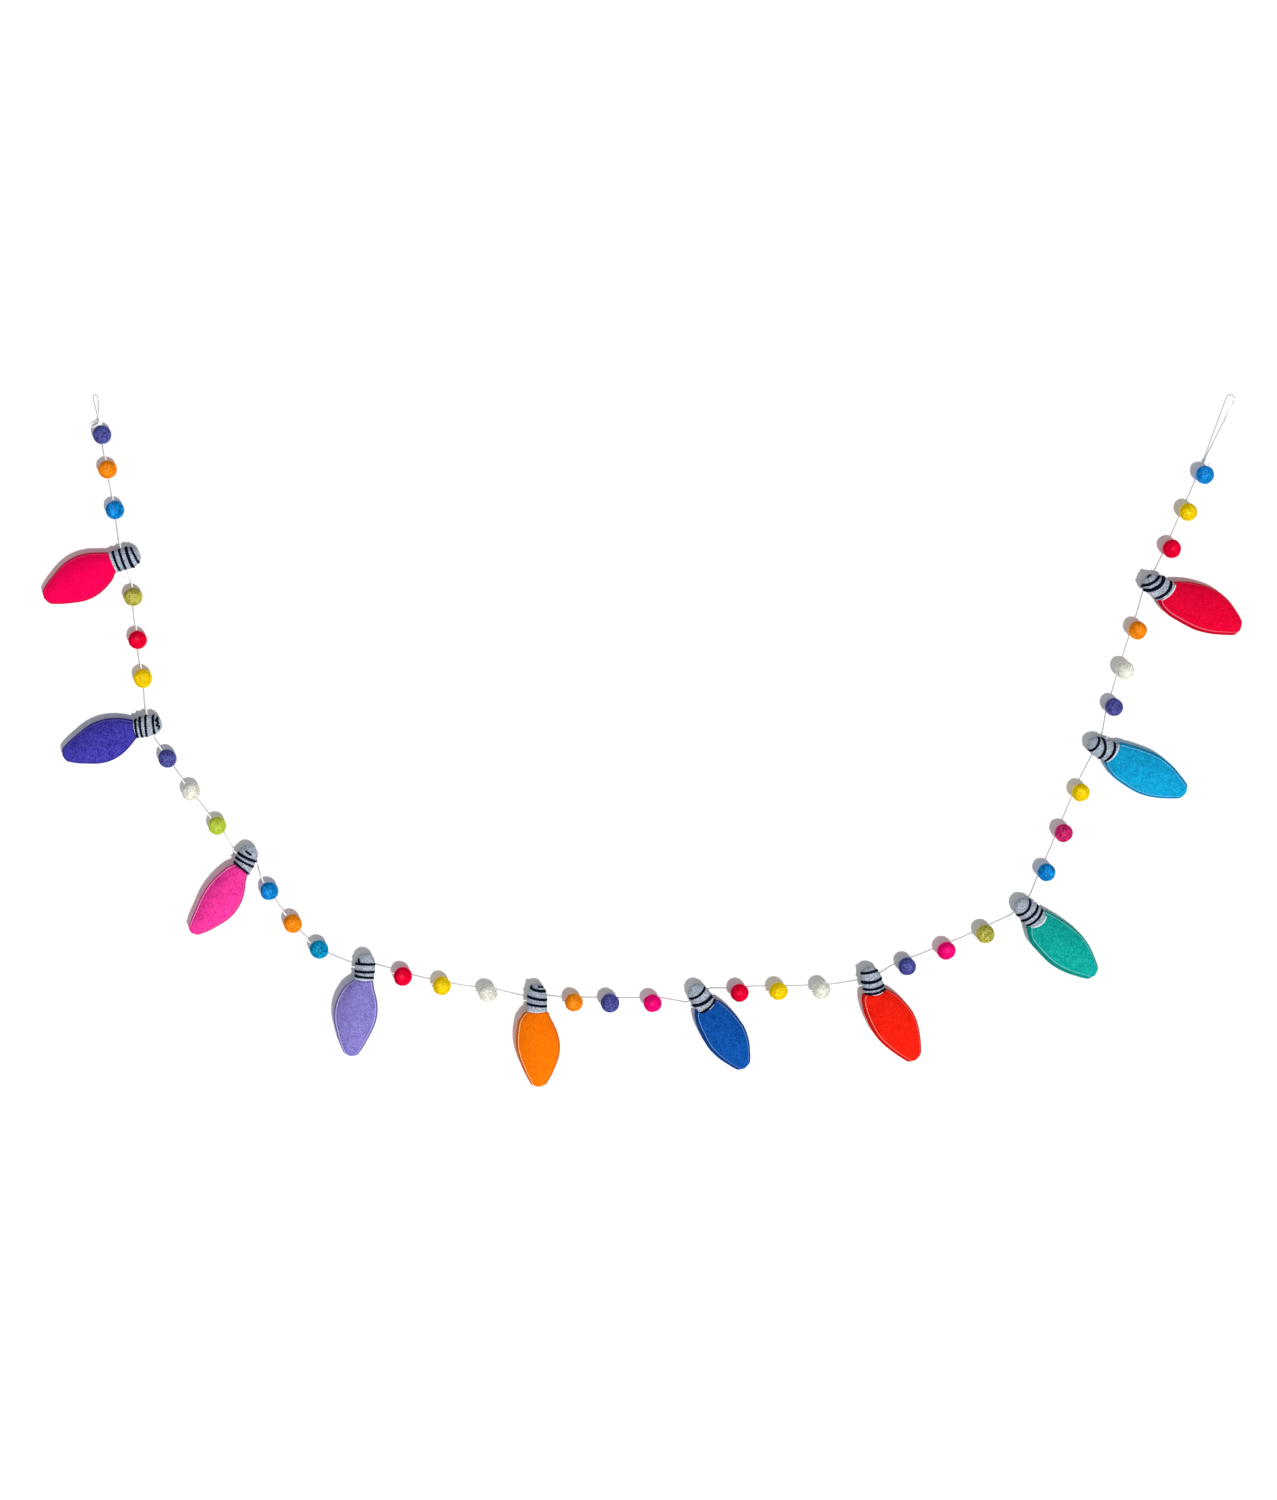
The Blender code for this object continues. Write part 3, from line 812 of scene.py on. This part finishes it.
def body_rings(number):
    """The rings of a body from its neck to its tip, placed, and its painted shade and highlight.
    """
    bulb = BULBS[number - 1]
    drawn = body_sections(bulb)
    placed = bulb_frame(number)
    rings, painted_shading = [], []
    line = body_line(number, drawn[:, 0])
    for (centre, turn), (height, half_width, half_depth, bow) in zip(line, drawn):
        share = max(height / (bulb.body_length * MM), 0)
        onward = Vector((math.sin(turn), 0, -math.cos(turn)))
        sideways = Vector((math.cos(turn), 0, math.sin(turn)))
        fade = min(half_width / TIP_FADE, 1.0)
        ring = []
        for angle, stands, deep in body_round(half_width, bulb.seams, share):
            reach = math.cos(angle)
            swell = math.copysign(abs(math.sin(angle)) ** PANEL_CROWN, math.sin(angle))
            local = centre + sideways * reach * half_width
            local -= onward * bow * hem_rise(bulb, reach * half_width)
            local += Vector((0, swell * half_depth, 0))
            way = (sideways * reach + Vector((0, swell, 0))).normalized()
            spot = local * STUFFING_PITCH + Vector((number * 7.3, 0, 0))
            stuffed = noise.noise(spot) + noise.noise(spot * SMALL_LUMPS) * SMALL_LUMP_SHARE
            stuffed *= STUFFING_LUMP * abs(math.sin(angle)) * fade
            local += way * (stuffed + stands)
            ring.append(placed @ local)
            painted_shading.append(deep)
        rings.append(ring)
    return rings, painted_shading


def seam_stitches(rings, left, seed):
    """Small overcast stitches of thread over one seam, slanted from the front to the back."""
    rng = random.Random(seed)
    count = len(rings[0])
    front = len(RIM_PROFILE) + len(EDGE_PROFILE)
    if left:
        spots = [count - BACK_ANGLES - front + step for step in LEFT_STITCH]
    else:
        spots = [step % count for step in RIGHT_STITCH]
    middles = [(ring[front + FRONT_ANGLES // 2] + ring[-BACK_ANGLES // 2]) / 2 for ring in rings]
    edge = np.array([tuple(ring[spots[-2]]) for ring in rings])
    along = np.concatenate([[0], np.cumsum(np.linalg.norm(np.diff(edge, axis=0), axis=1))])
    stitches = []
    at = SEAM_PITCH * 1.5
    while at < along[-1] - SEAM_PITCH * 0.6:
        low = np.interp(at - STITCH_SLANT * SEAM_PITCH, along, range(len(rings)))
        high = np.interp(at + STITCH_SLANT * SEAM_PITCH, along, range(len(rings)))
        points = []
        for step, spot in enumerate(spots):
            row = low + (high - low) * step / (len(spots) - 1)
            ring, part = int(row), row - int(row)
            after = min(ring + 1, len(rings) - 1)
            skin_point = rings[ring][spot].lerp(rings[after][spot], part)
            lift = THREAD_RADIUS * (STITCH_LIFT if 0 < step < len(spots) - 1 else STITCH_SUNK)
            points.append(skin_point + (skin_point - middles[ring]).normalized() * lift)
        stitches.append(points)
        at += SEAM_PITCH * rng.uniform(1 - STITCH_UNEVENNESS, 1 + STITCH_UNEVENNESS)
    return stitches


def joined(name, parts):
    """One mesh out of several closed tubes."""
    points, faces = [], []
    for rings in parts:
        tube = skin(name, rings)
        start = len(points)
        points.extend(tuple(vertex.co) for vertex in tube.vertices)
        faces.extend(tuple(start + corner for corner in face.vertices) for face in tube.polygons)
        bpy.data.meshes.remove(tube)
    mesh = bpy.data.meshes.new(name)
    mesh.from_pydata(points, [], faces)
    mesh.shade_smooth()
    return mesh


def thread_material(name, colour):
    """Sewing thread dyed to match the felt, a little deeper."""
    made, surface, at = new_material(name, 0.7, 0.05, 0.4)
    tone = at.grain(3.0, 2.0, 0.6)
    shade = tone.blend(linear(deeper(colour, 0.8), 0.8), linear(colour, 0.88))
    dress(made, surface, shade, tone, 0.3, THREAD_RELIEF)
    return made


for number, bulb in enumerate(BULBS, start=1):
    rings, painted_shading = body_rings(number)
    name = f"stuffed_body_{number:02d}"
    mesh = skin(name, rings)
    note_painted_light(mesh, painted_shading)
    felt = felt_material(f"felt_{bulb.felt}", bulb.colour, bulb.mottle)
    body = add_piece(name, mesh, felt)
    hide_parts(f"bulb_{number:02d}_body")
    tubes = []
    for left in (False, True):
        for stitch in seam_stitches(rings, left, number * 10 + left):
            line = np.array([tuple(point) for point in stitch])
            tubes.append(yarn_rings(line, THREAD_RADIUS, 2, THREAD_TWIST, THREAD_SIDES))
    name = f"seam_thread_{number:02d}"
    thread = thread_material(f"thread_{bulb.felt}", bulb.colour)
    add_piece(name, joined(name, tubes), thread)


# A socket is a cap of grey marled felt, sewn over the neck of its bulb and lightly filled. Its
# lower edge is cut straight or in a shallow bow, and laps over the coloured body. The string
# pulls a dimple into each side.
SOCKET_DEPTH = 17.0 * MM
SOCKET_CROWN = 0.95
SOCKET_ROWS = 44
SOCKET_SIDES = 60
SOCKET_LUMP = 0.3 * MM
SOCKET_LUMP_PITCH = 95
FINE_LUMPS = 3.3
FINE_LUMP_SHARE = 0.4
PIERCED_DIMPLE = 0.7 * MM
PIERCED_REACH = 2.4 * MM
CAP_FADE = 6 * MM
SOCKET_GREY = (176, 187, 204)
PALE_FIBRE = (222, 229, 236)
SLATE_FIBRE = (80, 92, 112)
HEM_HIGHLIGHT_GREY = (226, 232, 238)

# Sections of a socket from its lower edge to its cap: share of the length, of the half width
# and how much of that is the edge's, share of the half depth, and of the edge's bow
SOCKET_SECTIONS = (
    (0.00, 1.00, 1.0, 0.90, 1.0),
    (0.20, 0.99, 0.5, 0.96, 0.7),
    (0.45, 1.00, 0.0, 1.00, 0.0),
    (0.70, 0.90, 0.0, 0.95, 0.0),
    (0.87, 0.70, 0.0, 0.78, 0.0),
    (0.97, 0.37, 0.0, 0.42, 0.0),
    (1.00, 0.00, 0.0, 0.00, 0.0),
)

# The felt's own thickness round the hem, from up inside it to its outside: how far above the
# lower edge, how far the felt stands out, both in mm, and its painted shade (over 0) or painted
# highlight (under 0)
HEM_PROFILE = (
    (3.0, -1.15, 0.6),
    (0.6, -1.10, 0.6),
    (-0.3, -0.75, 0.2),
    (-0.6, -0.10, -0.7),
    (-0.45, 0.28, -1.0),
    (0.10, 0.40, -0.9),
    (0.75, 0.30, -0.5),
    (1.50, 0.12, 0.1),
)

# The painted highlight on a hem cut straight is faint, and each mm of its curve makes it
# stronger. Painted shade darkens the felt a little where it turns away at the sides.
STRAIGHT_HEM_HIGHLIGHT = 0.4
HIGHLIGHT_PER_MM = 0.15
SIDE_PAINTED_SHADE = 0.3
SIDE_NARROWNESS = 12


def socket_sections(bulb):
    """A socket's smooth sections: height, half width, half depth and sag, in metres."""
    middle, edge = bulb.socket_width / 2, bulb.edge_width / 2
    table = []
    for share, wide, as_edge, deep, bow in SOCKET_SECTIONS:
        half_width = wide * (middle + (edge - middle) * as_edge)
        table.append((share * bulb.socket_length, half_width, deep * SOCKET_DEPTH / 2 / MM, bow))
    drawn = smooth_sections(table, SOCKET_ROWS)
    drawn[:, :3] *= MM
    return drawn


def socket_point(number, row, angle, lift=0.0):
    """A point on a socket's surface, in the bulb's own axes. Lift moves it off the felt."""
    bulb = BULBS[number - 1]
    height, half_width, half_depth, bow = row
    across = math.cos(angle) * half_width
    swell = math.copysign(abs(math.sin(angle)) ** SOCKET_CROWN, math.sin(angle))
    above = height - bulb.threaded_at * MM
    point = Vector((across, swell * half_depth, above + bow * hem_rise(bulb, across)))
    way = Vector((math.cos(angle), swell, 0)).normalized()
    spot = point * SOCKET_LUMP_PITCH + Vector((0, number * 5.1, 0))
    relief = noise.noise(spot) + noise.noise(spot * FINE_LUMPS) * FINE_LUMP_SHARE
    relief *= SOCKET_LUMP * min(half_width / CAP_FADE, 1.0)
    near = math.exp(-((above / PIERCED_REACH) ** 2) - (point.y / PIERCED_REACH) ** 2)
    return point + way * (relief - near * PIERCED_DIMPLE + lift)


def socket_rings(number):
    """The rings of a socket, up inside its hem, round it and on to the cap, and its painted shade
    and highlight.
    """
    bulb = BULBS[number - 1]
    drawn = socket_sections(bulb)
    rows = []
    for above, stands, deep in HEM_PROFILE:
        row = [np.interp(max(above, 0) * MM, drawn[:, 0], drawn[:, column]) for column in range(4)]
        row[0] = above * MM
        rows.append((row, stands * MM, deep))
    top = HEM_PROFILE[-1][0] * MM
    rows.extend((row, 0.0, 0.0) for row in drawn if row[0] > top + 0.5 * MM)
    pale = min(STRAIGHT_HEM_HIGHLIGHT + HIGHLIGHT_PER_MM * hem_curve(bulb), 1.0)
    placed = bulb_frame(number)
    turns = [2 * math.pi * side / SOCKET_SIDES for side in range(SOCKET_SIDES)]
    rings, painted_shading = [], []
    for row, lift, deep in rows:
        rings.append([placed @ socket_point(number, row, angle, lift) for angle in turns])
        # Painted highlight on the hem's edge, painted shade up inside the hem and where the felt
        # turns away at the sides
        shown = deep * pale if deep < 0 else deep
        sides = [SIDE_PAINTED_SHADE * abs(math.cos(angle)) ** SIDE_NARROWNESS for angle in turns]
        painted_shading.extend(shown + side for side in sides)
    return rings, painted_shading


def marled_material():
    """Grey felt of mixed pale, blue-grey and slate fibres."""
    made, surface, at = new_material("felt_marled_grey", 0.95, 0.0, 0.6)
    rim = at.node("ShaderNodeAttribute", {"attribute_name": "rim"}, output=2)
    mottle = at.grain(0.42, 3.0, 0.65, 0.7)
    pale_hairs = at.hairs(0.36, 0.075, 2.2)
    slate_hairs = at.hairs(0.42, 0.07, 2.0)
    tone = (0.52 + (mottle - 0.5) * 3.0).kept()
    felt = tone.blend(linear(deeper(SOCKET_GREY, 0.66), 0.8), linear(SOCKET_GREY, 0.95))
    felt = (pale_hairs * 0.8).blend(felt, linear(PALE_FIBRE, 0.92))
    felt = (slate_hairs * 0.7).blend(felt, linear(SLATE_FIBRE, 0.78))
    # Painted shade darkens the grey, and a painted highlight pales the hem, as each point's note
    # says
    felt = (rim * 0.85).kept().blend(felt, linear(deeper(SOCKET_GREY, 0.6), 0.8))
    felt = (rim * -0.8).kept().blend(felt, linear(HEM_HIGHLIGHT_GREY, 0.95))
    height = mottle * 0.4 + pale_hairs * 0.35 + slate_hairs * 0.25
    dress(made, surface, felt, height, 0.55, FELT_RELIEF)
    return made


marled = marled_material()
for number in range(1, len(BULBS) + 1):
    name = f"felt_socket_{number:02d}"
    rings, painted_shading = socket_rings(number)
    mesh = skin(name, rings)
    note_painted_light(mesh, painted_shading)
    socket = add_piece(name, mesh, marled)
    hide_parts(f"bulb_{number:02d}_socket")


# Navy-black yarn is wound round each socket in three or four uneven turns, which stand for the
# screw thread of a real bulb. Short stitches of it catch some of the turns at the cap.
YARN_RADIUS = 1.48 * MM
YARN_TWIST = 5.0 * MM
YARN_SIDES = 10
YARN_STEP = 0.55 * MM
YARN_LIFT = 0.35 * MM
YARN_SUNK_AT_SIDE = 1.5 * MM
SUNK_NARROWNESS = 8
YARN_HIGHEST = 0.9
YARN_UNEVENNESS = 0.2
YARN_LUMP_PITCH = 160
YARN_RELIEF = 0.3 * MM
WHOLE_TURN_POINTS = 120
STITCH_POINTS = 25
ZIGZAG_PITCH = 3.0
YARN_BLACK = (12, 16, 30)
YARN_LINT = (52, 58, 82)

# One turn of yarn: its height at the outline above the socket's lower edge in mm, its tilt in
# degrees, how far its middle hangs below that in mm, its thickness, the part of the front it
# covers if it isn't a whole turn, from -1 to 1, and the height of its zigzag in mm
Turn = namedtuple("Turn", "height tilt bow thickness start end zigzag", defaults=(1.0, -1, 1, 0))
WINDINGS = (
    (
        Turn(4.0, 4, 0.3),
        Turn(10.3, 3, 0.0),
        Turn(17.6, 3, 0.3, 1.3),
        Turn(22.9, 9, -0.5, 0.95),
    ),
    (
        Turn(1.6, -7, 0.3),
        Turn(6.3, -8, 0.3),
        Turn(11.6, -12, 0.0),
        Turn(19.3, -10, 0.0),
        Turn(23.8, -6, 0.0, 0.9, -0.75, 0.75, 3.0),
    ),
    (
        Turn(0.8, -13, 0.0),
        Turn(7.3, -3, 0.3),
        Turn(12.7, -1, 0.7, 1.1),
        Turn(17.2, -8, 0.0, 0.9, -0.27, 0.34),
    ),
    (
        Turn(2.4, -2, 0.4),
        Turn(7.7, 2, 0.5),
        Turn(15.3, 2, 0.3),
        Turn(17.5, -61, 0.0, 0.85, -0.75, -0.48),
    ),
    (
        Turn(6.3, -8, 0.7),
        Turn(13.2, -11, 0.9),
        Turn(22.4, -13, 1.6, 1.1),
        Turn(25.6, -36, 0.0, 0.85, 0.3, 0.8),
    ),
    (
        Turn(2.7, 5, 2.3),
        Turn(10.4, -6, 2.9, 1.3),
        Turn(19.5, 4, 3.0),
    ),
    (
        Turn(1.9, -4, 2.5),
        Turn(6.3, -6, 2.4),
        Turn(13.4, -6, 2.2, 1.1),
        Turn(21.8, -5, 0.7),
    ),
    (
        Turn(6.6, -1, 2.7),
        Turn(13.1, -3, 3.3, 1.1),
        Turn(22.1, 4, 5.0),
    ),
    (
        Turn(7.4, -2, 3.8),
        Turn(17.1, 16, 4.6, 1.1),
        Turn(24.9, -8, 3.7),
    ),
    (
        Turn(8.9, -12, 4.5, 1.15),
        Turn(20.0, -25, 5.3, 1.45),
        Turn(25.3, -31, 3.1, 1.1),
        Turn(28.4, -37, 0.0, 0.85, 0.5, 0.8),
    ),
)


def winding_line(number, turn):
    """The yarn's line on a socket's felt: right round it, or over a part of its front."""
    bulb = BULBS[number - 1]
    drawn = socket_sections(bulb)
    whole = turn.start <= -1 and turn.end >= 1
    if whole:
        angles = np.linspace(0, 2 * math.pi, WHOLE_TURN_POINTS + 1)[:-1]
    else:
        first, last = (math.pi + math.acos(-side) for side in (turn.start, turn.end))
        angles = np.linspace(first, last, STITCH_POINTS)
    slope = math.tan(math.radians(turn.tilt))
    centre = (turn.start + turn.end) / 2
    line = []
    for step, angle in enumerate(angles):
        at_front = max(-math.sin(angle), 0.0)
        sideways = (math.cos(angle) - centre) * bulb.socket_width / 2
        high = turn.height + slope * sideways - turn.bow * at_front**2
        high += turn.zigzag * (abs((sideways / ZIGZAG_PITCH) % 2 - 1) - 0.5) * (at_front > 0)
        high = min(high, bulb.socket_length * YARN_HIGHEST)
        row = [np.interp(max(high, 0) * MM, drawn[:, 0], drawn[:, column]) for column in range(4)]
        row[0] = high * MM
        row[3] = 0.0
        lift = YARN_LIFT - YARN_SUNK_AT_SIDE * abs(math.cos(angle)) ** SUNK_NARROWNESS
        if not whole and step in (0, len(angles) - 1):
            lift = -YARN_RADIUS
        line.append(socket_point(number, row, angle, lift))
    return line, whole


def winding_rings(number, turn, seed):
    """The twisted yarn of one turn, uneven in its thickness."""
    line, whole = winding_line(number, turn)
    placed = bulb_frame(number)
    line = spaced([placed @ point for point in line + line[:1] * whole], YARN_STEP)
    if whole:
        line = line[:-1]
    radius = []
    for point in line:
        uneven = noise.noise(Vector(point) * YARN_LUMP_PITCH + Vector((seed, 0, 0)))
        radius.append(YARN_RADIUS * turn.thickness * (1 + YARN_UNEVENNESS * uneven))
    return yarn_rings(line, radius, 2, YARN_TWIST, YARN_SIDES, closed=whole), whole


def yarn_material():
    """Soft black yarn with a blue cast and a few paler loose fibres."""
    made, surface, at = new_material("yarn_black", 0.9, 0.01, 0.5)
    tone = at.grain(1.6, 3.0, 0.6, 0.5)
    lint = at.hairs(1.1, 0.05, 1.4)
    yarn = tone.blend(linear(deeper(YARN_BLACK, 0.7)), linear(deeper(YARN_BLACK, 1.35)))
    yarn = (lint * 0.2).blend(yarn, linear(YARN_LINT))
    dress(made, surface, yarn, tone * 0.6 + lint * 0.4, 0.4, YARN_RELIEF)
    return made


black_yarn = yarn_material()
for number, windings in enumerate(WINDINGS, start=1):
    for index, turn in enumerate(windings, start=1):
        name = f"socket_yarn_{number:02d}_{index}"
        rings, whole = winding_rings(number, turn, number * 3 + index)
        add_piece(name, skin(name, rings, closed=whole), black_yarn)


# The garland hangs against a plain white wall, with a pale floor below it, and neither is part
# of it. Both are seen from their front only, so that they don't hide it from behind or below.
WALL_Y = 12.6 * MM
FLOOR_Z = -1.36
STAGE_LEFT = -3.0
STAGE_RIGHT = 4.1
WALL_TOP = 2.2
FLOOR_FRONT = -5.5
WALL_WHITE = (0.9, 0.9, 0.9, 1.0)
FLOOR_WHITE = (0.86, 0.86, 0.85, 1.0)


def stage_material(name, colour):
    """Matt paint that is clear when it is seen from its back."""
    made = bpy.data.materials.new(name)
    made.use_nodes = True
    surface = made.node_tree.nodes["Principled BSDF"]
    surface.inputs["Base Color"].default_value = colour
    surface.inputs["Roughness"].default_value = 0.95
    surface.inputs["Specular IOR Level"].default_value = 0.1
    start = Shade(made.node_tree)
    behind = start.node("ShaderNodeNewGeometry", output=6)
    clear = start.node("ShaderNodeBsdfTransparent")
    shown = Shade(made.node_tree, surface.outputs["BSDF"])
    mixed = start.node("ShaderNodeMixShader", None, {0: behind, 1: shown, 2: clear})
    output = made.node_tree.nodes["Material Output"]
    made.node_tree.links.new(mixed.socket, output.inputs["Surface"])
    return made


def add_stage(name, corners, colour):
    """A flat face of the room, which takes shadows and casts none."""
    mesh = bpy.data.meshes.new(name)
    mesh.from_pydata(corners, [], [(0, 1, 2, 3)])
    mesh.materials.append(stage_material(name, colour))
    stage = bpy.data.objects.new(name, mesh)
    bpy.context.scene.collection.objects.link(stage)
    stage.visible_shadow = False


wall_corners = [
    (STAGE_LEFT, WALL_Y, FLOOR_Z),
    (STAGE_RIGHT, WALL_Y, FLOOR_Z),
    (STAGE_RIGHT, WALL_Y, WALL_TOP),
    (STAGE_LEFT, WALL_Y, WALL_TOP),
]
floor_corners = [
    (STAGE_LEFT, FLOOR_FRONT, FLOOR_Z),
    (STAGE_RIGHT, FLOOR_FRONT, FLOOR_Z),
    (STAGE_RIGHT, WALL_Y, FLOOR_Z),
    (STAGE_LEFT, WALL_Y, FLOOR_Z),
]
add_stage("wall", wall_corners, WALL_WHITE)
add_stage("floor", floor_corners, FLOOR_WHITE)

# One key light from the lower right throws each piece's shadow up and to the left on the wall.
# An even white surround fills the rest, and a weak light from behind shows the backs.
KEY_WAY = (-0.29, 1.0, 0.38)
KEY_STRENGTH = 3.3
KEY_ANGLE = 4.0
BACK_WAY = (0.45, -1.0, -0.5)
BACK_STRENGTH = 0.6
BACK_ANGLE = 20.0
SURROUND = 0.38
SURROUND_COLOUR = (0.94, 0.97, 1.0, 1.0)


def add_sun(name, way, strength, angle):
    """A broad distant light that shines one way."""
    lamp = bpy.data.lights.new(name, "SUN")
    lamp.energy = strength
    lamp.angle = math.radians(angle)
    sun = bpy.data.objects.new(name, lamp)
    bpy.context.scene.collection.objects.link(sun)
    sun.rotation_euler = Vector(way).to_track_quat("-Z", "Y").to_euler()


add_sun("key", KEY_WAY, KEY_STRENGTH, KEY_ANGLE)
add_sun("back", BACK_WAY, BACK_STRENGTH, BACK_ANGLE)
world = bpy.data.worlds.new("surround")
bpy.context.scene.world = world
world.use_nodes = True
background = world.node_tree.nodes["Background"]
background.inputs["Color"].default_value = SURROUND_COLOUR
background.inputs["Strength"].default_value = SURROUND
